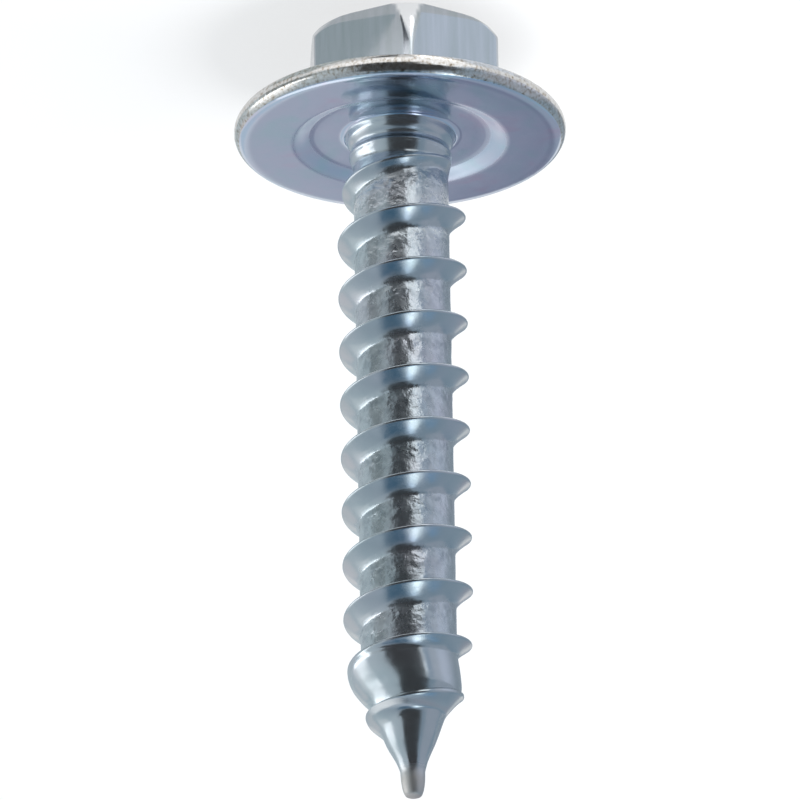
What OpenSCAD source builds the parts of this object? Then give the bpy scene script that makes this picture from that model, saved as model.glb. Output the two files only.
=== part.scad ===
// Hexagon flange screw for door hinges, cold formed from one piece of steel wire:
// a hexagon head on a round flange, and a shank with a coarse rolled thread and a gimlet point.
// It stands on the flat top of its head with the point up, and its axis is the Z axis.

/* [Head] */
// Width of the hexagon across its flats
hex_across_flats = 11.5; // [10:0.1:13]
// Width of the hexagon across its blunted corners
hex_across_corners = 13; // [12:0.1:14.5]
// Height of the head, from its flat top to the bearing face of the flange
head_height = 6.8; // [5.5:0.1:9]
// Distance by which the top of each corner is cut back towards the axis
corner_cut_w = 0.6; // [0.2:0.1:0.8]
// Distance by which the cut runs down each corner
corner_cut_h = 1.2; // [0.4:0.1:1.8]
// Distance by which the hexagon sits off the axis of the shank, as it was forged
hex_offset = 0.3; // [0:0.1:0.6]
// Turn of the hexagon about its own middle, in degrees
hex_turn = -3; // [-30:1:30]

/* [Flange] */
// Diameter of the flange over its rounded rim
flange_d = 20.7; // [18:0.1:26]
// Thickness of the flange at its rim
flange_t = 1.5; // [1.2:0.1:2]
// Extra thickness of the flange where it meets the hexagon
flange_rise = 0.4; // [0.1:0.1:1]
// Diameter of the recess in the bearing face
recess_d = 13; // [11:0.1:15]
// Depth of the recess in the bearing face
recess_depth = 0.45; // [0.2:0.05:0.7]
// Width of the sloping wall of the recess
recess_slope = 0.6; // [0.3:0.1:1]

/* [Shank] */
// Length of the screw from the bearing face to the end of the point
shank_length = 43.9; // [35:0.1:80]
// Diameter of the core between the threads
core_d = 5.9; // [5:0.1:6.6]
// Width of the fillet between the flange and the core
neck_fillet_w = 0.4; // [0.2:0.1:0.8]
// Height of that fillet, measured from the bearing face
neck_fillet_h = 0.8; // [0.4:0.1:1.5]

/* [Thread] */
// Diameter over the crests of the thread
thread_d = 8; // [7.4:0.1:9]
// Distance from one turn to the next
pitch = 3.6; // [3:0.05:4.2]
// Width of the blunt crest
crest_w = 0.3; // [0.2:0.05:0.6]
// Slope of the flank that faces the head, in degrees from a plane across the axis
head_flank_angle = 20; // [10:1:25]
// Slope of the flank that faces the point, in degrees from a plane across the axis
point_flank_angle = 38; // [25:1:45]
// Depth of the thread on its first turn below the flange
first_depth = 0.7; // [0.3:0.1:1]
// Distance over which the thread rises to that first depth
lead_in = 1.2; // [0.6:0.1:2]
// Distance from the neck at which the thread has its full depth
run_out = 4.6; // [3:0.1:8]
// Angle at which the thread starts, in degrees
start_angle = 283; // [0:1:359]

/* [Point] */
// Length of the whole point, from the thickest place of the core to the tip
point_length = 7.1; // [6.5:0.1:10]
// Length over which the core swells before the point
swell_length = 2.6; // [1:0.1:4]
// Growth in core diameter at the end of the swell
swell = 0.6; // [0:0.1:1]
// Length of the steep shoulder at the start of the point
shoulder_length = 1.9; // [1:0.1:3]
// Diameter at which the shoulder gives way to the slim cone
cone_d = 4.3; // [3.6:0.1:5]
// Depth of the thread where it runs on to the point
point_depth = 0.5; // [0.3:0.05:0.8]
// Distance from the start of the point to where the thread ends
thread_tail = 3.9; // [3:0.1:4.5]
// Diameter of the blunt nub at the tip
nub_d = 1.6; // [1:0.1:2]
// Length of the nub
nub_length = 1.6; // [1:0.1:1.8]

/* [Hidden] */

$fn = 64;
steel = [0.62, 0.66, 0.72];

// Levels along the axis, measured up from the flat top of the head
bearing_z = head_height;
rim_z = bearing_z - flange_t;
hex_flat_r = hex_across_flats / 2;
hex_corner_r = hex_across_corners / 2;

// Distances along the shank, measured from the bearing face towards the point
neck_end = neck_fillet_h;
point_start = shank_length - point_length;
nub_start = shank_length - nub_length;
core_r = core_d / 2;
full_depth = (thread_d - core_d) / 2;
nub_r = nub_d / 2;

// Core radius at a distance along the shank
function core_at(s) = lookup(s, [
    [neck_end, core_r],
    [point_start - swell_length, core_r],
    [point_start, core_r + swell / 2],
    [point_start + shoulder_length, cone_d / 2],
    [nub_start, nub_r]
]);

// Depth of the thread at a distance along the shank
function depth_at(s) = lookup(s, [
    [neck_end, 0],
    [neck_end + lead_in, first_depth],
    [neck_end + run_out, full_depth],
    [point_start - swell_length, full_depth],
    [point_start, point_depth],
    [point_start + shoulder_length, point_depth],
    [point_start + thread_tail, 0]
]);

// Points down a flank: distance from the crest's edge as a share of the flank's run, and height as a share
// of the depth. The foot of the flank is eased into the root, and its head into the crest.
flank_form = [[0.1, 0.9], [0.8, 0.14], [1.35, 0]];
head_run = full_depth * tan(head_flank_angle);
point_run = full_depth * tan(point_flank_angle);
crest_start = (pitch - crest_w) / 2;
crest_end = (pitch + crest_w) / 2;

// Thread form over one turn: distance from the middle of the root, and height as a share of the depth
thread_form = [
    [0, 0],
    for (i = [len(flank_form) - 1 : -1 : 0]) [crest_start - flank_form[i][0] * head_run, flank_form[i][1]],
    [pitch / 2, 1],
    for (p = flank_form) [crest_end + p[0] * point_run, p[1]]
];

// Divisions of the threaded surface round the axis, along one turn and along the shank
sides = 36;
rows_per_turn = len(thread_form);
turns = ceil((nub_start - neck_end) / pitch) + 2;
row_count = turns * rows_per_turn;

// Rings at both ends of the thread, as [distance along the shank, radius]
neck_rings = [
    [-(recess_depth + flange_t) / 2, core_r + neck_fillet_w],
    for (a = [0 : 22.5 : 90]) [
        neck_end - (neck_end + recess_depth) * cos(a),
        core_r + neck_fillet_w * (1 - sin(a))
    ]
];
nub_rings = [
    for (a = [0 : 22.5 : 90]) [
        nub_start + nub_length * sin(a),
        nub_r * (0.55 + 0.45 * cos(a))
    ]
];

function around(s, r, k) = [
    r * cos(360 * k / sides),
    r * sin(360 * k / sides),
    bearing_z + s
];

// Distance along the shank of one row of the thread at one side, counted from a turn before the neck
function row_s(i, k) =
    neck_end + pitch * (floor(i / rows_per_turn) - 1 + k / sides - start_angle / 360)
    + thread_form[i % rows_per_turn][0];

function thread_point(i, k) =
    let (s = row_s(i, k))
    around(s, core_at(s) + thread_form[i % rows_per_turn][1] * depth_at(s), k);

// The shank is one closed skin: the rings of the neck, the helical rows of the thread, the rings of the nub
module shank() {
    neck_count = len(neck_rings) * sides;
    nub_first = neck_count + row_count * sides;

    // Number of a thread point, or of the end ring's point where the row runs past the thread
    function at(i, k) =
        k == sides ? at(i + rows_per_turn, 0)
        : i >= row_count || row_s(i, k) >= nub_start ? nub_first + k
        : row_s(i, k) <= neck_end ? neck_count - sides + k
        : neck_count + i * sides + k;

    points = [
        for (ring = neck_rings, k = [0 : sides - 1]) around(ring[0], ring[1], k),
        for (i = [0 : row_count - 1], k = [0 : sides - 1]) thread_point(i, k),
        for (ring = nub_rings, k = [0 : sides - 1]) around(ring[0], ring[1], k)
    ];

    function ring_faces(first, rings) = [
        for (j = [0 : rings - 2], k = [0 : sides - 1])
            let (a = first + j * sides + k, b = first + j * sides + (k + 1) % sides)
            each [[a, a + sides, b + sides], [a, b + sides, b]]
    ];

    thread_faces = [
        for (i = [0 : row_count - 2], k = [0 : sides - 1])
            let (a = at(i, k), b = at(i, k + 1), c = at(i + 1, k + 1), d = at(i + 1, k))
            each [
                if (a != d && d != c && a != c) [a, d, c],
                if (a != c && c != b && a != b) [a, c, b]
            ]
    ];

    end_faces = [
        [for (k = [0 : sides - 1]) k],
        [for (k = [sides - 1 : -1 : 0]) nub_first + (len(nub_rings) - 1) * sides + k]
    ];

    polyhedron(points, concat(
        ring_faces(0, len(neck_rings)),
        thread_faces,
        ring_faces(nub_first, len(nub_rings)),
        end_faces
    ), convexity = 12);
}

// The hexagon reaches up into the flange, and its corners are blunted and cut back at the top
module hexagon() {
    reach = bearing_z - flange_t / 2;
    translate([-hex_offset, 0, 0])
        intersection() {
            rotate(30 + hex_turn)
                cylinder(h = reach, r = hex_flat_r / cos(30), $fn = 6);
            rotate_extrude()
                polygon([
                    [0, 0],
                    [hex_corner_r - corner_cut_w, 0],
                    [hex_corner_r, corner_cut_h],
                    [hex_corner_r, reach],
                    [0, reach]
                ]);
        }
}

// The flange has a fully rounded rim, a coned back and a shallow recess round the shank
module flange() {
    rim_r = flange_d / 2 - flange_t / 2;
    recess_r = recess_d / 2;
    difference() {
        rotate_extrude() {
            polygon([
                [0, rim_z - flange_rise],
                [hex_flat_r, rim_z - flange_rise],
                [rim_r, rim_z],
                [rim_r, bearing_z],
                [0, bearing_z]
            ]);
            translate([rim_r, rim_z + flange_t / 2])
                circle(flange_t / 2, $fn = 32);
        }
        translate([0, 0, bearing_z - recess_depth])
            cylinder(h = 2 * recess_depth, r1 = recess_r - recess_slope, r2 = recess_r + recess_slope);
    }
}

module screw() {
    color(steel) {
        hexagon();
        flange();
        shank();
    }
}

screw();
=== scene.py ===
import math

import bmesh
import bpy
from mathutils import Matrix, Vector
from mathutils.noise import noise as noise3d


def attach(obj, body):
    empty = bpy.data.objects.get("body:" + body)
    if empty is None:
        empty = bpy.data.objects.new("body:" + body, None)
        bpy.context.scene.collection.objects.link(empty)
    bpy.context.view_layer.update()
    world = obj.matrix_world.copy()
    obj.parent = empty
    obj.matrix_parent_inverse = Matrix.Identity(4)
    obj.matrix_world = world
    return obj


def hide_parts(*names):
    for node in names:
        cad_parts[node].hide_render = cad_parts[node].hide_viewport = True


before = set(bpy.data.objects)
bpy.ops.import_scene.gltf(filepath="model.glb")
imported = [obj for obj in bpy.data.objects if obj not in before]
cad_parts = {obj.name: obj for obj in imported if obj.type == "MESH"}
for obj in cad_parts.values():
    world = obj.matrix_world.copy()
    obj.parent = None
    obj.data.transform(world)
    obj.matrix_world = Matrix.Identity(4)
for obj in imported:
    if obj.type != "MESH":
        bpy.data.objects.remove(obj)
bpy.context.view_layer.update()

# Screw: shank
# The threaded end of a screw that is cold formed in one piece from steel wire and then zinc plated.
# The rolled thread rises out of the neck, fills out before the point and winds out on the cone. A line of
# points one pitch long is wound up by a screw modifier, and each point is then set to its radius.
MM = 0.001

# Sizes in millimetres. Distances along the shank start at the bearing face and grow towards the point.
bearing_z = 6.8
shank_length = 43.9
core_r = 2.95
crest_r = 4.0
full_depth = crest_r - core_r
neck_end = 1.2
neck_r = 3.17
nub_start = 42.3
nub_r = 0.76

# The thread: where its crest lies on the +X side, and how far each flank runs at full depth
pitch = 3.6
first_crest = 3.42
crest_half = 0.09
crest_crown = 0.04
head_run = 0.42
head_bend = 1.15
point_run = 1.0
point_bend = 1.3
foot_ease = 0.01

# The wound mesh: rows from the middle of one root to the next as (step, count), closest at the crest
row_steps = [(0.12, 10), (0.09, 1), (0.05, 1), (0.06, 1), (0.08, 3), (0.07, 1), (0.03, 6)]
row_steps += [(0.05, 1), (0.06, 1), (0.08, 2), (0.09, 2), (0.1, 5), (0.11, 6), (0.1, 1)]
turns = 15
sides = 96
seam_weld = 0.001

# Radius of the core between the turns, as (distance, radius)
core_knots = [
    (neck_end, neck_r),
    (1.4, 3.1),
    (1.9, core_r),
    (34.2, core_r),
    (35.8, 3.06),
    (36.6, 3.02),
    (37.3, 2.85),
    (37.9, 2.5),
    (38.4, 2.27),
    (40.5, 1.5),
    (41.7, 0.95),
    (nub_start, nub_r),
]
# Radius of the crest. At both ends it dips below the core, so the thread starts and ends there.
crest_knots = [
    (1.35, 2.9),
    (1.65, 3.16),
    (2.1, 3.46),
    (2.6, 3.54),
    (3.4, 3.67),
    (5.4, crest_r),
    (32.6, crest_r),
    (33.6, 3.92),
    (34.9, 3.84),
    (35.8, 3.8),
    (36.7, 3.55),
    (37.6, 3.33),
    (38.5, 3.16),
    (39.4, 2.72),
    (39.9, 2.4),
    (40.3, 2.0),
    (40.7, 1.4),
    (41.3, 0.5),
]
# The bulge behind the last full crest: how far the root is filled up, and how far the filling reaches
fill_knots = [(34.2, 0), (34.9, 0.35), (35.5, 0.95), (36.8, 1), (37.4, 0.2), (37.8, 0)]
fill_reach_knots = [(35.8, 2.3), (36.7, 2.2), (37.6, 1.6)]
fill_fade = [(0.1, 1), (1.05, 0), (1.5, 0)]
# The core flares out ahead of the last crests
flare_knots = [(35.5, 0), (36.7, 0.08), (37.6, 0.3), (38.5, 0.42), (39.4, 0.16), (40.2, 0.1), (40.7, 0)]
flare_reach = 2.6
flare_bend = 1.6
# Least run of a flank as a share of the full run: the thread's two ends are blunt
blunt_knots = [(1.4, 1), (2.3, 0.3), (39.2, 0.3), (40.0, 0.9)]
# The last turns are pressed together, by this distance towards the head
pull_knots = [(33.6, 0), (35.3, 0.15), (37.6, 0.24), (38.5, 0.12), (39.6, 0.58), (43, 0.6)]
# Rolling dents in the roots: their share along the shank, and across one turn
dent_knots = [(1.5, 0), (3.2, 1), (34.0, 1), (35.6, 0)]
wrinkle_knots = [(0.25, 0.4), (0.42, 1.0), (0.6, 0.7), (0.85, 0.4)]
dent_depth = 0.028
fine_dents = 1.9
fine_dent_share = 0.5
root_edge = 0.25


def along_curve(at, knots):
    """Value at a distance, on a smooth curve through the knots that never overshoots."""
    if at <= knots[0][0]:
        return knots[0][1]
    if at >= knots[-1][0]:
        return knots[-1][1]
    slopes = [(high - low) / (b - a) for (a, low), (b, high) in zip(knots, knots[1:])]
    bends = [0.0]
    for before, after in zip(slopes, slopes[1:]):
        bends.append(2 * before * after / (before + after) if before * after > 0 else 0.0)
    bends.append(slopes[-1])
    for i, ((a, low), (b, high)) in enumerate(zip(knots, knots[1:])):
        if at <= b:
            gap = b - a
            t = (at - a) / gap
            ease = t * t * (3 - 2 * t)
            leave = t * (1 - t) ** 2 * gap * bends[i]
            arrive = t * t * (t - 1) * gap * bends[i + 1]
            return low + (high - low) * ease + leave + arrive


def crest_top(distance):
    """Height of the blunt crest, as a share of the depth, at a distance from its middle."""
    return 1 - crest_crown * (distance / crest_half) ** 2


def head_side(distance, run):
    """Height of the flank that faces the head, as a share of the depth, at a distance from the crest."""
    if distance < crest_half:
        return crest_top(distance)
    left = max(0.0, 1 - (distance - crest_half) / run)
    return crest_top(crest_half) * left**head_bend


def point_side(distance, run):
    """The same for the flank that faces the point, which is eased into the root."""
    if distance < crest_half:
        return crest_top(distance)
    left = 1 - (distance - crest_half) / run
    eased = (left + math.sqrt(left**2 + foot_ease)) / (1 + math.sqrt(1 + foot_ease))
    return crest_top(crest_half) * eased**point_bend


def dent(place):
    """Uneven rolling of the root, from about -1 to 1."""
    return noise3d(place) + fine_dent_share * noise3d(place * fine_dents)


bpy.ops.object.select_all(action="DESELECT")
bpy.ops.mesh.primitive_plane_add(size=MM)
screw = bpy.context.object
screw.name = "zinc_screw"
bpy.ops.object.mode_set(mode="EDIT")
bpy.ops.mesh.select_all(action="SELECT")
bpy.ops.mesh.merge(type="CENTER")
lowest = bearing_z + first_crest - 2.5 * pitch
bpy.ops.transform.translate(value=Vector((crest_r, 0, lowest)) * MM)
for step, count in row_steps:
    for row in range(count):
        bpy.ops.mesh.extrude_region_move(TRANSFORM_OT_translate={"value": (0, 0, step * MM)})
bpy.ops.object.mode_set(mode="OBJECT")
winding = screw.modifiers.new("winding", "SCREW")
winding.axis = "Z"
winding.angle = math.tau
winding.screw_offset = pitch * MM
winding.iterations = turns
winding.steps = sides
winding.render_steps = sides
winding.use_merge_vertices = True
winding.merge_threshold = seam_weld * MM
bpy.ops.object.modifier_apply(modifier="winding")

root_share = [0.0] * len(screw.data.vertices)
for v in screw.data.vertices:
    wound = v.co.z / MM - bearing_z
    along = wound - along_curve(wound, pull_knots)
    turn_share = ((wound - first_crest) / pitch - math.atan2(v.co.y, v.co.x) / math.tau) % 1
    since_crest = turn_share * pitch
    to_crest = pitch - since_crest
    last_crest = wound - since_crest
    next_crest = last_crest + pitch

    crest = along_curve(last_crest, crest_knots)
    filled = along_curve(last_crest, fill_knots)
    filled *= along_curve(since_crest / along_curve(last_crest, fill_reach_knots), fill_fade)
    flare = along_curve(next_crest, flare_knots) * max(0.0, 1 - to_crest / flare_reach) ** flare_bend
    root_r = along_curve(along, core_knots) + flare
    root_r += filled * max(0.0, crest - along_curve(last_crest, core_knots))

    rise = crest - root_r
    run = point_run * max(along_curve(last_crest, blunt_knots), rise / full_depth)
    behind = rise * point_side(since_crest, run)
    next_rise = along_curve(next_crest, crest_knots) - root_r
    next_run = head_run * max(along_curve(next_crest, blunt_knots), next_rise / full_depth)
    ahead = next_rise * head_side(to_crest, next_run)
    raised = max(0.0, behind, ahead)

    rough = along_curve(turn_share, wrinkle_knots) * along_curve(along, dent_knots)
    root_share[v.index] = max(0.0, 1 - raised / root_edge) * rough
    radius = root_r + raised + dent_depth * root_share[v.index] * dent(v.co / MM)
    scale = radius * MM / math.hypot(v.co.x, v.co.y)
    v.co = (v.co.x * scale, v.co.y * scale, (bearing_z + along) * MM)
screw.data.attributes.new("root", "FLOAT", "POINT")
screw.data.attributes["root"].data.foreach_set("value", root_share)

# The zinc on the thread: pale blue grey, mottled and duller in the roots, and grey and dry on the nub
thread_tints = [(0.3, (0.45, 0.51, 0.54)), (0.5, (0.50, 0.54, 0.57)), (0.7, (0.54, 0.55, 0.59))]
root_stains = [(0.36, (0.74, 0.76, 0.78)), (0.5, (0.96, 0.96, 0.96)), (0.64, (1.08, 1.08, 1.08))]
nub_grey = (0.56, 0.54, 0.52)
nub_dry_start = 41.9
nub_dry_end = 42.9
thread_gloss = (0.18, 0.27)
root_dulling = 0.07
nub_dulling = 0.3
root_bump = 0.08


def feed(tree, socket, value):
    """Joins another node's output to a socket, or sets the socket to a number or a colour."""
    if isinstance(value, (int, float)):
        socket.default_value = value
    elif isinstance(value, tuple):
        socket.default_value = (*value, 1)
    else:
        tree.links.new(value, socket)


def zinc_finish(name):
    """A new metal material, its node tree and the sockets of its shader."""
    finish = bpy.data.materials.new(name)
    finish.use_nodes = True
    sockets = finish.node_tree.nodes["Principled BSDF"].inputs
    sockets["Metallic"].default_value = 1
    return finish, finish.node_tree, sockets


def noise(tree, scale, detail, stretch=(1, 1, 1), distortion=0.0):
    """A noise texture on the piece's own coordinates, with its scale given in waves per millimetre."""
    place = tree.nodes.new("ShaderNodeTexCoord")
    scaled = tree.nodes.new("ShaderNodeMapping")
    scaled.inputs["Scale"].default_value = [s * scale / MM for s in stretch]
    tree.links.new(place.outputs["Object"], scaled.inputs["Vector"])
    spots = tree.nodes.new("ShaderNodeTexNoise")
    spots.inputs["Scale"].default_value = 1
    spots.inputs["Detail"].default_value = detail
    spots.inputs["Distortion"].default_value = distortion
    tree.links.new(scaled.outputs["Vector"], spots.inputs["Vector"])
    return spots.outputs["Fac"]


def ramp(tree, value, stops):
    """Colours along a value, as (position, colour) pairs."""
    node = tree.nodes.new("ShaderNodeValToRGB")
    while len(node.color_ramp.elements) < len(stops):
        node.color_ramp.elements.new(0.5)
    for element, (position, colour) in zip(node.color_ramp.elements, stops):
        element.position = position
        element.color = (*colour, 1)
    tree.links.new(value, node.inputs["Fac"])
    return node.outputs["Color"]


def spread(tree, value, start, end, low=0.0, high=1.0):
    """A value spread from one range to another, and kept inside it."""
    node = tree.nodes.new("ShaderNodeMapRange")
    node.inputs["From Min"].default_value = start
    node.inputs["From Max"].default_value = end
    node.inputs["To Min"].default_value = low
    node.inputs["To Max"].default_value = high
    tree.links.new(value, node.inputs["Value"])
    return node.outputs["Result"]


def uneven(tree, scale, detail, gloss):
    """Roughness that wanders between two numbers, over the range where most of a noise lies."""
    noise_low = 0.3
    noise_high = 0.7
    return spread(tree, noise(tree, scale, detail), noise_low, noise_high, *gloss)


def calculated(tree, operation, *values):
    """The result of a math node on outputs and numbers."""
    node = tree.nodes.new("ShaderNodeMath")
    node.operation = operation
    for socket, value in zip(node.inputs, values):
        feed(tree, socket, value)
    return node.outputs["Value"]


def mixed(tree, share, first, second, blend="MIX"):
    """Two colours mixed by a share."""
    node = tree.nodes.new("ShaderNodeMix")
    node.data_type = "RGBA"
    node.blend_type = blend
    feed(tree, node.inputs["Factor"], share)
    feed(tree, node.inputs["A"], first)
    feed(tree, node.inputs["B"], second)
    return node.outputs["Result"]


def stored(tree, name):
    """A share that is stored on the points of the mesh."""
    node = tree.nodes.new("ShaderNodeAttribute")
    node.attribute_name = name
    return node.outputs["Fac"]


def parts_of(tree, coordinates):
    """X, Y and Z of the object's own coordinates, or of another kind."""
    place = tree.nodes.new("ShaderNodeTexCoord")
    parts = tree.nodes.new("ShaderNodeSeparateXYZ")
    tree.links.new(place.outputs[coordinates], parts.inputs["Vector"])
    return parts.outputs


def bump(tree, height, depth):
    """A bump of a depth in millimetres."""
    node = tree.nodes.new("ShaderNodeBump")
    node.inputs["Distance"].default_value = depth * MM
    node.inputs["Strength"].default_value = 1
    tree.links.new(height, node.inputs["Height"])
    return node.outputs["Normal"]


thread_zinc, tree, zinc = zinc_finish("thread_zinc")
tint = ramp(tree, noise(tree, 0.3, 3), thread_tints)
stains = ramp(tree, noise(tree, 1.6, 4, distortion=0.5), root_stains)
in_root = stored(tree, "root")
height = parts_of(tree, "Object")["Z"]
on_nub = spread(tree, height, (bearing_z + nub_dry_start) * MM, (bearing_z + nub_dry_end) * MM)
mottled = mixed(tree, in_root, tint, stains, "MULTIPLY")
feed(tree, zinc["Base Color"], mixed(tree, on_nub, mottled, nub_grey))
matt = calculated(tree, "MULTIPLY_ADD", in_root, root_dulling, uneven(tree, 1.5, 3, thread_gloss))
feed(tree, zinc["Roughness"], calculated(tree, "MULTIPLY_ADD", on_nub, nub_dulling, matt))
small_dents = calculated(tree, "MULTIPLY", noise(tree, 2.3, 2), in_root)
feed(tree, zinc["Normal"], bump(tree, small_dents, root_bump))

# Screw: nub
# The blunt end of the point, where the wire was pinched off, a little off the axis.
# Both ends of the wound thread are pressed flat first, and the nub is drawn on from the far one.
end_weld = 0.002
end_tolerance = 0.01
nub_end_share = 0.55
nub_length = shank_length - nub_start
lean_knots = [(40.5, 0), (nub_start, 0.1), (shank_length, 0.13)]

bpy.ops.object.mode_set(mode="EDIT")
bpy.ops.mesh.select_mode(type="VERT")
for end, end_r, way in ((neck_end, neck_r, -1), (nub_start, nub_r, 1)):
    level = (bearing_z + end) * MM
    bpy.ops.mesh.select_all(action="DESELECT")
    edit = bmesh.from_edit_mesh(screw.data)
    for v in edit.verts:
        v.select = (v.co.z - level) * way > 0
        if v.select:
            scale = end_r * MM / math.hypot(v.co.x, v.co.y)
            v.co.x *= scale
            v.co.y *= scale
    bmesh.update_edit_mesh(screw.data)
    bpy.ops.transform.resize(value=(1, 1, 0), center_override=(0, 0, level))
bpy.ops.mesh.select_all(action="SELECT")
bpy.ops.mesh.remove_doubles(threshold=end_weld * MM)


def draw_on(radius, distance, rings):
    """Extrudes the open edge at a distance along the shank through rings of (radius, distance)."""
    bpy.ops.mesh.select_all(action="DESELECT")
    bpy.ops.mesh.select_mode(type="EDGE")
    bpy.ops.mesh.select_non_manifold(extend=False)
    edit = bmesh.from_edit_mesh(screw.data)
    level = bearing_z + distance
    for e in edit.edges:
        if abs(e.verts[0].co.z / MM - level) > end_tolerance:
            e.select = False
    bmesh.update_edit_mesh(screw.data)
    for next_r, next_distance in rings:
        rise = (0, 0, (next_distance - distance) * MM)
        bpy.ops.mesh.extrude_region_move(TRANSFORM_OT_translate={"value": rise})
        growth = next_r / radius
        bpy.ops.transform.resize(value=(growth, growth, 1), center_override=(0, 0, 0))
        radius, distance = next_r, next_distance


nub_rings = []
for degrees in range(10, 91, 10):
    a = math.radians(degrees)
    ring_r = nub_r * (nub_end_share + (1 - nub_end_share) * math.cos(a))
    nub_rings.append((ring_r, nub_start + nub_length * math.sin(a)))
draw_on(nub_r, nub_start, nub_rings)
bpy.ops.mesh.edge_face_add()
edit = bmesh.from_edit_mesh(screw.data)
for v in edit.verts:
    v.co.x -= along_curve(v.co.z / MM - bearing_z, lean_knots) * MM
bmesh.update_edit_mesh(screw.data)

# Screw: neck and flange
# The forged flange under the hexagon, one with the shank, with a recess and a collared neck round its middle.
# The thread's open edge at the neck is drawn on through rings: down the neck, out over the recess and
# the bearing face, round the rim and in along the coned back.
flange_r = 10.35
rim_r = 0.75
recess_depth = 0.45
recess_inner_r = 5.5
recess_slope = 1.25
wall_steps = 12
neck_steps = 33
neck_knots = [
    (-recess_depth, 3.62),
    (-0.36, 3.47),
    (-0.24, 3.42),
    (0.1, 3.31),
    (0.25, 3.21),
    (0.5, 3.0),
    (0.7, 2.97),
    (0.85, 3.04),
    (0.95, 3.17),
    (1.04, 3.22),
    (neck_end, neck_r),
]

rings = []
for step in range(1, neck_steps + 1):
    down = neck_end - (neck_end + recess_depth) * step / neck_steps
    rings.append((along_curve(down, neck_knots), down))
for floor_r in (3.9, 4.3, 4.8, 5.3):
    rings.append((floor_r, -recess_depth))
for step in range(1, wall_steps + 1):
    t = step / wall_steps
    rings.append((recess_inner_r + recess_slope * t, -recess_depth * (1 - t * t * (3 - 2 * t))))
rings += [(6.9, 0), (7.6, 0), (8.3, -0.004), (8.8, -0.012), (9.2, -0.024)]
for degrees in range(75, -91, -10):
    a = math.radians(degrees)
    rings.append((flange_r - rim_r + rim_r * math.cos(a), -rim_r + rim_r * math.sin(a)))
rings += [(9.3, -1.53), (8.6, -1.6), (7.6, -1.7)]
draw_on(neck_r, neck_end, rings)
bpy.ops.object.mode_set(mode="OBJECT")

# The zinc on the flange: mirror bright with a faint film of blue, green and violet, duller in the recess wall
film_tints = [
    (0.3, (0.51, 0.66, 0.74)),
    (0.45, (0.56, 0.645, 0.76)),
    (0.58, (0.58, 0.64, 0.76)),
    (0.72, (0.62, 0.59, 0.72)),
]
flange_gloss = (0.09, 0.15)
stamped_dulling = 0.2
flange_waves = 0.006
flange_zinc, tree, zinc = zinc_finish("flange_zinc")
feed(tree, zinc["Base Color"], ramp(tree, noise(tree, 0.35, 3, distortion=0.6), film_tints))
bright = uneven(tree, 0.8, 4, flange_gloss)
softened = calculated(tree, "MULTIPLY_ADD", stored(tree, "stamped"), stamped_dulling, bright)
feed(tree, zinc["Roughness"], softened)
feed(tree, zinc["Normal"], bump(tree, noise(tree, 0.6, 3), flange_waves))

# The zinc on the rim: grainy, with brown specks where the plating is thin
rim_grain = [
    (0.27, (0.20, 0.155, 0.11)),
    (0.37, (0.44, 0.41, 0.37)),
    (0.5, (0.56, 0.55, 0.535)),
    (0.7, (0.65, 0.65, 0.65)),
]
rim_gloss = (0.14, 0.26)
rim_roughening = 0.004
rim_zinc, tree, zinc = zinc_finish("rim_zinc")
feed(tree, zinc["Base Color"], ramp(tree, noise(tree, 4.5, 4), rim_grain))
feed(tree, zinc["Roughness"], uneven(tree, 3, 4, rim_gloss))
feed(tree, zinc["Normal"], bump(tree, noise(tree, 6, 3), rim_roughening))

# Screw: hexagon
# The driving end of the same piece, forged a little off the axis, with blunt corners cut back at the top.
# A ring of points is set to the hexagon's outline, level by level from the flange's back to the flat top,
# and its open edge is then bridged to the flange.
flat_r = 5.75
corner_fillet = 0.4
hex_turn = -3
hex_offset = 0.3
hex_base = 4.9
base_fillet = 0.3
edge_round = 0.18
top_inset = 0.5

# Cuts on the corners as (width, height). The corner that faces -Y has a long slim one and a flat beside it.
cut_start_r = 6.58
corner_cut = (0.75, 1.05)
front_corner = 4
front_cut = (0.42, 3.3)
front_cut_bend = 1.6
front_flat_r = 6.29
front_flat_angle = math.radians(256)
cut_blend = 0.06
corner_zero = math.radians(30 + hex_turn)


def hexagon_r(angle):
    """Distance from the middle to the rounded hexagon's outline, at an angle from its first corner."""
    half_side = math.radians(30)
    off_corner = (angle + half_side) % (2 * half_side) - half_side
    centre = (flat_r - corner_fillet) / math.cos(half_side)
    touch_x = centre + corner_fillet * math.cos(half_side)
    touch_y = corner_fillet * math.sin(half_side)
    if abs(off_corner) < math.atan2(touch_y, touch_x):
        across = centre * math.sin(off_corner)
        return centre * math.cos(off_corner) + math.sqrt(corner_fillet**2 - across**2)
    return flat_r / math.cos(half_side - abs(off_corner))


def outline_r(angle):
    """The same with the small flat beside the front corner."""
    front_flat = front_flat_r / max(0.2, math.cos(angle - front_flat_angle))
    return min(hexagon_r(angle), front_flat)


def nearest_corner(angle):
    """Number of the corner that an angle is nearest to, from 0 to 5."""
    return round(math.degrees(angle) / 60) % 6


def cut_back(angle, level):
    """Radius at which the cut on the nearest corner limits the hexagon, at a level over the flat top."""
    in_front = nearest_corner(angle) == front_corner
    width, length = front_cut if in_front else corner_cut
    left = 1 - level / length
    if in_front and left > 0:
        left = left**front_cut_bend
    return cut_start_r - width * left


def softer(a, b, blend):
    """The smaller of two radii, rounded where they cross."""
    return 0.5 * (a + b - math.sqrt((a - b) ** 2 + blend**2))


def hex_angle(place):
    """Angle of a point from the hexagon's first corner, about the hexagon's own middle."""
    return (math.atan2(place.y, place.x + hex_offset * MM) - corner_zero) % math.tau


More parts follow.
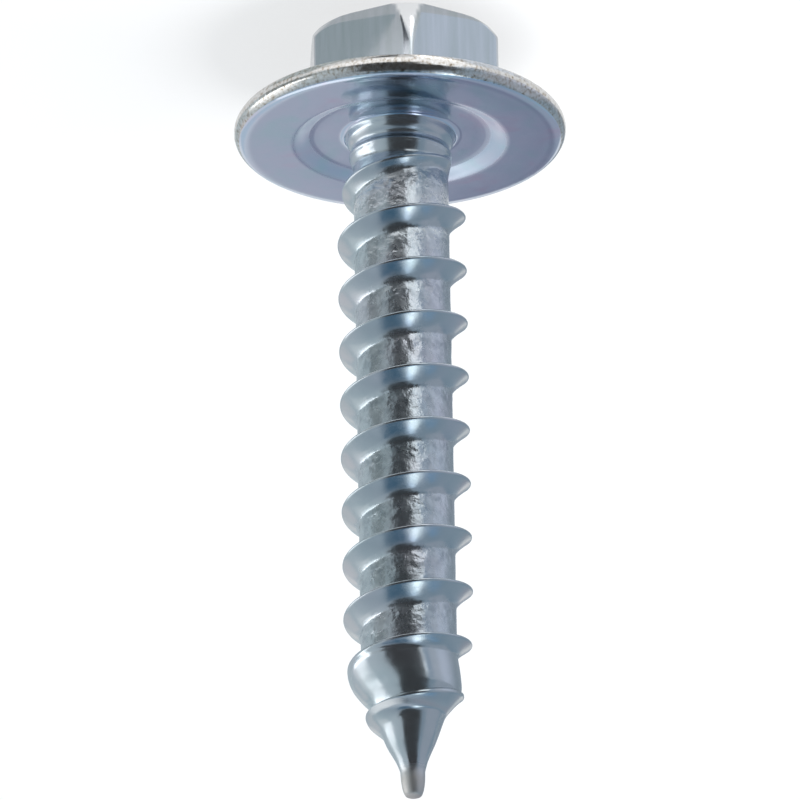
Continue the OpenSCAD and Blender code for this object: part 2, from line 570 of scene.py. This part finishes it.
beside_corner = [0.9, 1.8, 2.8, 4, 5.5, 7.5, 10, 15, 22]
columns = [-degrees for degrees in reversed(beside_corner)] + [0] + beside_corner + [30]
column_angles = [math.radians(60 * corner + degrees) for corner in range(6) for degrees in columns]
bpy.ops.object.select_all(action="DESELECT")
bpy.ops.mesh.primitive_circle_add(vertices=len(column_angles), radius=flat_r * MM, fill_type="NOTHING")
head = bpy.context.object
for v, angle in zip(head.data.vertices, column_angles):
    direction = angle + corner_zero
    v.co = Vector((math.cos(direction) - hex_offset, math.sin(direction), 0)) * MM

# Levels as (growth, height over the flat top): fillet at the flange, sides, rounded top edge
levels = []
for degrees in range(0, 91, 15):
    a = math.radians(degrees)
    levels.append((base_fillet * (1 - math.sin(a)), hex_base - base_fillet * (1 - math.cos(a))))
for side_height in (4.3, 3.8, 3.5, 3.2, 2.9, 2.6, 2.3, 2.0, 1.8, 1.6, 1.4):
    levels.append((0, side_height))
for tenths in range(12, 1, -1):
    levels.append((0, 0.1 * tenths))
for degrees in range(0, 91, 15):
    a = math.radians(degrees)
    levels.append((-edge_round * (1 - math.cos(a)), edge_round * (1 - math.sin(a))))
levels.append((-top_inset, 0))

bpy.ops.object.mode_set(mode="EDIT")
bpy.ops.mesh.select_all(action="SELECT")
for index, (growth, level) in enumerate(levels):
    if index:
        bpy.ops.mesh.extrude_region_move()
    edit = bmesh.from_edit_mesh(head.data)
    for v in edit.verts:
        if v.select:
            angle = hex_angle(v.co)
            radius = softer(outline_r(angle), cut_back(angle, level), cut_blend) + growth
            direction = angle + corner_zero
            x = radius * math.cos(direction) - hex_offset
            v.co = Vector((x, radius * math.sin(direction), level)) * MM
    bmesh.update_edit_mesh(head.data)
bpy.ops.mesh.edge_face_add()
bpy.ops.object.mode_set(mode="OBJECT")

head.select_set(True)
screw.select_set(True)
bpy.context.view_layer.objects.active = screw
bpy.ops.object.join()
bpy.ops.object.mode_set(mode="EDIT")
bpy.ops.mesh.select_all(action="DESELECT")
bpy.ops.mesh.select_mode(type="EDGE")
bpy.ops.mesh.select_non_manifold(extend=False)
bpy.ops.mesh.bridge_edge_loops()
bpy.ops.mesh.select_all(action="SELECT")
bpy.ops.mesh.normals_make_consistent(inside=False)
bpy.ops.object.mode_set(mode="OBJECT")
bpy.ops.object.shade_smooth_by_angle(angle=math.radians(40))

# The zinc on the hexagon: faint upright drawing streaks, and rubbed bare to a polish on the front corner's
# cut, lightened there to near white as a painted highlight
drawn_tints = [(0.3, (0.39, 0.43, 0.45)), (0.7, (0.46, 0.49, 0.53))]
# Near white on the front corner's cut: a painted highlight over the bare zinc
cut_highlight_white = (0.9, 0.91, 0.92)
hex_gloss = (0.12, 0.22)
streak_depth = 0.003
hex_zinc, tree, zinc = zinc_finish("hex_zinc")
streaks = noise(tree, 2.2, 3, stretch=(1, 1, 0.06))
drawn = ramp(tree, streaks, drawn_tints)
feed(tree, zinc["Base Color"], mixed(tree, stored(tree, "cut_highlight"), drawn, cut_highlight_white))
feed(tree, zinc["Roughness"], uneven(tree, 1.2, 4, hex_gloss))
feed(tree, zinc["Normal"], bump(tree, streaks, streak_depth))

# Points on the front corner's cut carry the painted highlight, and points on the recess wall count as stamped
cut_highlight_start = 0.03
cut_highlight_width = 0.05
cut_highlight_top = 0.05
hex_sides_end = hex_base - 1
stamped_knots = [(5.4, 0), (5.8, 1), (6.5, 1), (6.9, 0)]
stamped_floor = bearing_z - recess_depth - 0.01
cut_highlight_share = [0.0] * len(screw.data.vertices)
stamped_share = [0.0] * len(screw.data.vertices)
for v in screw.data.vertices:
    level = v.co.z / MM
    if level > stamped_floor:
        stamped_share[v.index] = along_curve(math.hypot(v.co.x, v.co.y) / MM, stamped_knots)
    angle = hex_angle(v.co)
    if cut_highlight_top < level < hex_sides_end and nearest_corner(angle) == front_corner:
        radius = math.hypot(v.co.x + hex_offset * MM, v.co.y) / MM
        cut_depth = outline_r(angle) - radius
        cut_highlight_share[v.index] = min(1.0, max(0.0, (cut_depth - cut_highlight_start) / cut_highlight_width))
for name, shares in (("cut_highlight", cut_highlight_share), ("stamped", stamped_share)):
    screw.data.attributes.new(name, "FLOAT", "POINT")
    screw.data.attributes[name].data.foreach_set("value", shares)

# Each finish goes to the faces of its own part of the screw
neck_reach = 3.5
neck_start = 0.02
recess_reach = 8
recess_floor = 0.5
rim_inner_r = 8.8
rim_edge = 0.12
screw.data.materials.clear()
for finish in (thread_zinc, flange_zinc, rim_zinc, hex_zinc):
    screw.data.materials.append(finish)
for face in screw.data.polygons:
    level = face.center.z / MM - bearing_z
    radius = math.hypot(face.center.x, face.center.y) / MM
    if level > neck_start or (radius < neck_reach and level > hex_base - bearing_z):
        face.material_index = 0
    elif level > -rim_edge or (level > -recess_floor and radius < recess_reach):
        face.material_index = 1
    elif radius > rim_inner_r:
        face.material_index = 2
    else:
        face.material_index = 3
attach(screw, "root")
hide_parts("screw")

# Floor
# A plain white table top under the head, not part of the object.
# It looks nearly white to the camera and in the metal, and still takes the screw's shadow.
floor_width = 1.2
floor_glow = 0.7
bpy.ops.object.select_all(action="DESELECT")
bpy.ops.mesh.primitive_plane_add(size=floor_width)
floor = bpy.context.object
floor.name = "floor"
white = bpy.data.materials.new("white_table")
white.use_nodes = True
tree = white.node_tree
tree.nodes.clear()
lit = tree.nodes.new("ShaderNodeBsdfDiffuse")
lit.inputs["Color"].default_value = (0.9, 0.9, 0.9, 1)
glow = tree.nodes.new("ShaderNodeEmission")
glow.inputs["Color"].default_value = (1, 1, 1, 1)
glow.inputs["Strength"].default_value = 1
rays = tree.nodes.new("ShaderNodeLightPath").outputs
seen = calculated(tree, "MAXIMUM", rays["Is Camera Ray"], rays["Is Glossy Ray"])
seen = calculated(tree, "MAXIMUM", seen, rays["Is Transmission Ray"])
mix = tree.nodes.new("ShaderNodeMixShader")
feed(tree, mix.inputs["Fac"], calculated(tree, "MULTIPLY", seen, floor_glow))
feed(tree, mix.inputs[1], lit.outputs["BSDF"])
feed(tree, mix.inputs[2], glow.outputs["Emission"])
end = tree.nodes.new("ShaderNodeOutputMaterial")
feed(tree, end.inputs["Surface"], mix.outputs["Shader"])
floor.data.materials.append(white)

# Room
# A pale room, lighter on the left and darker overhead, that the camera sees as plain white.
# One soft lamp high on the right gives the shadow on the table.
wall_tints = [(0.0, (0.30, 0.395, 0.485)), (0.5, (0.56, 0.62, 0.68)), (1.0, (0.60, 0.69, 0.74))]
wall_reach = 0.8
height_tints = [
    (0.0, (1, 1, 1)),
    (0.6, (1, 1, 1)),
    (0.9, (0.72, 0.76, 0.8)),
    (0.98, (1, 1.03, 1.06)),
    (1.0, (1, 1.03, 1.06)),
]
world = bpy.data.worlds.new("studio")
bpy.context.scene.world = world
world.use_nodes = True
tree = world.node_tree
facing = parts_of(tree, "Generated")
walls = ramp(tree, spread(tree, facing["X"], -wall_reach, wall_reach), wall_tints)
sky = mixed(tree, 1, walls, ramp(tree, facing["Z"], height_tints), "MULTIPLY")
room = tree.nodes["Background"]
room.inputs["Strength"].default_value = 1
feed(tree, room.inputs["Color"], sky)
plain = tree.nodes.new("ShaderNodeBackground")
plain.inputs["Color"].default_value = (1, 1, 1, 1)
rays = tree.nodes.new("ShaderNodeLightPath").outputs
mix = tree.nodes.new("ShaderNodeMixShader")
feed(tree, mix.inputs["Fac"], rays["Is Camera Ray"])
feed(tree, mix.inputs[1], room.outputs["Background"])
feed(tree, mix.inputs[2], plain.outputs["Background"])
feed(tree, tree.nodes["World Output"].inputs["Surface"], mix.outputs["Shader"])


def toward(azimuth, elevation, reach):
    """A point at a distance from the screw's middle. Azimuth 0 is toward the camera, 90 is toward +X."""
    middle_z = 25
    a = math.radians(azimuth)
    e = math.radians(elevation)
    flat = reach * math.cos(e)
    return (flat * math.sin(a), -flat * math.cos(a), middle_z + reach * math.sin(e))


lamp_data = bpy.data.lights.new("key", "AREA")
lamp_data.energy = 3.0
lamp_data.size = 0.35
lamp = bpy.data.objects.new("key", lamp_data)
bpy.context.scene.collection.objects.link(lamp)
lamp.location = Vector(toward(-80, 60, 500)) * MM
lamp_aim = Vector((0, 0, 20)) * MM
lamp.rotation_euler = (lamp_aim - lamp.location).to_track_quat("-Z", "Y").to_euler()
lamp.visible_glossy = False

# Reflections
# What the bright zinc mirrors, all painted reflections: a table with light and shade on it, a dark figure in
# front, lamps and walls.
# Each is a glowing sheet that only reflections see, so it lights and hides nothing.


def only_reflected(sheet, name, strength):
    """Makes a sheet glow in reflections alone, and returns its node tree and the socket of its colour."""
    face = bpy.data.materials.new(name)
    face.use_nodes = True
    tree = face.node_tree
    tree.nodes.clear()
    shine = tree.nodes.new("ShaderNodeEmission")
    shine.inputs["Strength"].default_value = strength
    end = tree.nodes.new("ShaderNodeOutputMaterial")
    tree.links.new(shine.outputs["Emission"], end.inputs["Surface"])
    sheet.data.materials.append(face)
    sheet.name = name
    sheet.visible_camera = False
    sheet.visible_diffuse = False
    sheet.visible_shadow = False
    sheet.visible_transmission = False
    return tree, shine.inputs["Color"]


def four_cornered(corners):
    """A flat sheet through four corners in millimetres."""
    bpy.ops.object.select_all(action="DESELECT")
    bpy.ops.mesh.primitive_plane_add(size=MM)
    sheet = bpy.context.object
    order = (corners[0], corners[1], corners[3], corners[2])
    for v, place in zip(sheet.data.vertices, order):
        v.co = Vector(place) * MM
    return sheet


def card(name, corners, colour, strength=1):
    """A four-cornered sheet of one colour."""
    tree, colour_socket = only_reflected(four_cornered(corners), name, strength)
    feed(tree, colour_socket, colour)


def flat_card(name, level, corners, colour, strength=1):
    """A card that lies at a level over the table."""
    card(name, [(x, y, level) for x, y in corners], colour, strength)


def sky_card(name, reach, corners, colour, strength=1):
    """A card through four directions, at a distance from the screw."""
    card(name, [toward(azimuth, elevation, reach) for azimuth, elevation in corners], colour, strength)


# Painted reflections of light and shade on the table all round the screw, as (azimuth, colour)
table_light_and_shade = [
    (-90, (0.35, 0.375, 0.44)),
    (-76, (0.36, 0.385, 0.45)),
    (-68, (0.29, 0.31, 0.35)),
    (-54, (0.29, 0.31, 0.35)),
    (-48, (0.17, 0.215, 0.275)),
    (-41, (0.17, 0.215, 0.275)),
    (-36, (0.76, 0.78, 0.8)),
    (-15, (0.82, 0.84, 0.86)),
    (-11, (0.03, 0.032, 0.035)),
    (24, (0.03, 0.032, 0.035)),
    (33, (0.18, 0.20, 0.215)),
    (42, (0.25, 0.285, 0.3)),
    (52, (0.25, 0.285, 0.3)),
    (60, (0.145, 0.165, 0.17)),
    (84, (0.145, 0.165, 0.17)),
    (96, (0.3, 0.34, 0.36)),
    (172, (0.3, 0.34, 0.36)),
    (188, (0.18, 0.21, 0.24)),
    (235, (0.18, 0.21, 0.24)),
    (270, (0.35, 0.375, 0.44)),
]
table_near = 26
table_far = 550
table_level = 0.3
bpy.ops.object.select_all(action="DESELECT")
bpy.ops.mesh.primitive_circle_add(vertices=72, radius=table_near * MM, fill_type="NOTHING")
table = bpy.context.object
bpy.ops.object.mode_set(mode="EDIT")
bpy.ops.mesh.select_all(action="SELECT")
bpy.ops.transform.translate(value=(0, 0, table_level * MM))
bpy.ops.mesh.extrude_region_move()
growth = table_far / table_near
bpy.ops.transform.resize(value=(growth, growth, 1), center_override=(0, 0, 0))
bpy.ops.object.mode_set(mode="OBJECT")
tree, colour_socket = only_reflected(table, "table_light_and_shade", 2)
place = tree.nodes.new("ShaderNodeTexCoord")
round_table = tree.nodes.new("ShaderNodeTexGradient")
round_table.gradient_type = "RADIAL"
feed(tree, round_table.inputs["Vector"], place.outputs["Object"])
stops = [(0.25 + azimuth / 360, colour) for azimuth, colour in table_light_and_shade]
feed(tree, colour_socket, ramp(tree, round_table.outputs["Fac"], stops))

# Painted reflections on the table: the dark far part, and lighter and darker patches close to the head
flat_card("table_far", 0.6, [(62, -85), (340, -460), (-310, -460), (-57, -85)], (0.06, 0.065, 0.07))
flat_card("near_dark", 0.4, [(0.2, -7), (3.2, -11), (0.1, -11), (0, -7)], (0.14, 0.15, 0.16))
flat_card("near_bright", 0.4, [(-0.9, -7), (-2.2, -12), (-8, -12), (-2, -7.6)], (1, 1, 1), 2.2)
flat_card("near_left", 0.35, [(0.8, -6.9), (12, -11), (14, -3), (5.5, -3.6)], (0.57, 0.64, 0.66))
flat_card("near_right", 0.35, [(-2, -6.5), (-9, -11), (-14, -3), (-5.6, -3)], (0.88, 0.95, 1.05))
flat_card("near_front", 0.35, [(13, -12), (13, -24), (-13, -24), (-13, -12)], (1, 1, 1), 1.5)

# In front and overhead: the dark figure and ceiling, and the lamp on the right
figure = [(125, -250, 0), (155, -250, 220), (-230, -250, 220), (-195, -250, 0)]
card("dark_figure", figure, (0.06, 0.062, 0.066))
sky_card("dark_shoulders", 330, [(40, 30), (14, 62), (-22, 62), (-38, 30)], (0.05, 0.055, 0.06))
sky_card("dark_ceiling", 420, [(40, 60), (60, 80), (-60, 84), (-40, 60)], (0.065, 0.155, 0.25))
sky_card("high_lamp", 400, [(-60, 72), (-90, 76), (-90, 65), (-60, 61)], (0.9, 1, 1.02), 2.7)
sky_card("lamp_glow", 400, [(-42, 66), (-60, 72), (-60, 61), (-42, 54)], (0.75, 0.92, 1.1), 1.7)
sky_card("lamp_blue", 410, [(-92, 74), (-108, 70), (-108, 46), (-92, 50)], (0.25, 0.43, 0.64))

# Behind: a lamp, a wall that is darker on the right, and a lighter strip below it
sky_card("crescent", 285, [(149, 13), (149, 42), (169, 42), (169, 13)], (0.6, 0.68, 0.74))
sky_card("back_lamp", 400, [(125, 68), (125, 42), (175, 42), (175, 68)], (1, 1, 1), 1.3)
back_wall = [(-200, 300, 70), (330, 300, 70), (330, 300, 700), (-200, 300, 700)]
back_wall_half = 100
back_wall_tones = [
    (0.2, (0.4, 0.43, 0.5)),
    (0.3, (0.24, 0.25, 0.325)),
    (0.46, (0.31, 0.325, 0.4)),
    (0.53, (0.52, 0.525, 0.58)),
    (0.64, (0.53, 0.53, 0.575)),
    (0.8, (0.8, 0.8, 0.82)),
]
tree, colour_socket = only_reflected(four_cornered(back_wall), "back_wall", 1)
across = spread(tree, parts_of(tree, "Object")["X"], -back_wall_half * MM, back_wall_half * MM)
feed(tree, colour_socket, ramp(tree, across, back_wall_tones))
back_strip = [(-140, 295, 0), (140, 295, 0), (140, 295, 75), (-140, 295, 75)]
card("back_glow", back_strip, (1, 1, 1), 0.9)

# At the sides: a window and bright sheets on the left, a duller wall on the right
left_sheet = [(220, -60, 50), (220, 85, 50), (220, 85, 125), (220, -60, 125)]
card("left_sheet", left_sheet, (0.97, 1, 1.02), 1.6)
left_window = [(220, -115, 8), (220, 105, 8), (220, 105, 50), (220, -115, 50)]
card("left_window", left_window, (0.97, 1, 1.02), 3.0)
sky_card("right_wall", 300, [(-57, -3), (-57, 36), (-112, 36), (-112, -3)], (0.45, 0.5, 0.58))
left_wall = [(260, -20, 20), (260, 170, 20), (260, 170, 230), (260, -20, 230)]
card("left_wall", left_wall, (0.95, 1, 1.02), 0.95)

# Camera
# The photo shows the head at the top, so the camera looks down at the standing screw
# and is turned by a little over half a turn about its own axis.
elevation = math.radians(23.705)
roll = math.radians(180.985)
distance = 819.06
aim = Vector((0.285, -0.6255, 24.575))
pixels_per_mm = 16.205
picture_width = 800
sensor_width = 36
to_camera = Vector((0, -math.cos(elevation), math.sin(elevation)))
camera_data = bpy.data.cameras.new("camera")
camera_data.sensor_width = sensor_width
camera_data.lens = pixels_per_mm * distance * sensor_width / picture_width
camera_data.clip_start = 0.01
camera_data.clip_end = 10
camera = bpy.data.objects.new("camera", camera_data)
bpy.context.scene.collection.objects.link(camera)
camera.location = (aim + to_camera * distance) * MM
camera.rotation_euler = (-to_camera).to_track_quat("-Z", "Y").to_euler()
camera.rotation_euler.rotate_axis("Z", -roll)
bpy.context.scene.camera = camera
bpy.context.scene.view_settings.view_transform = "Standard"
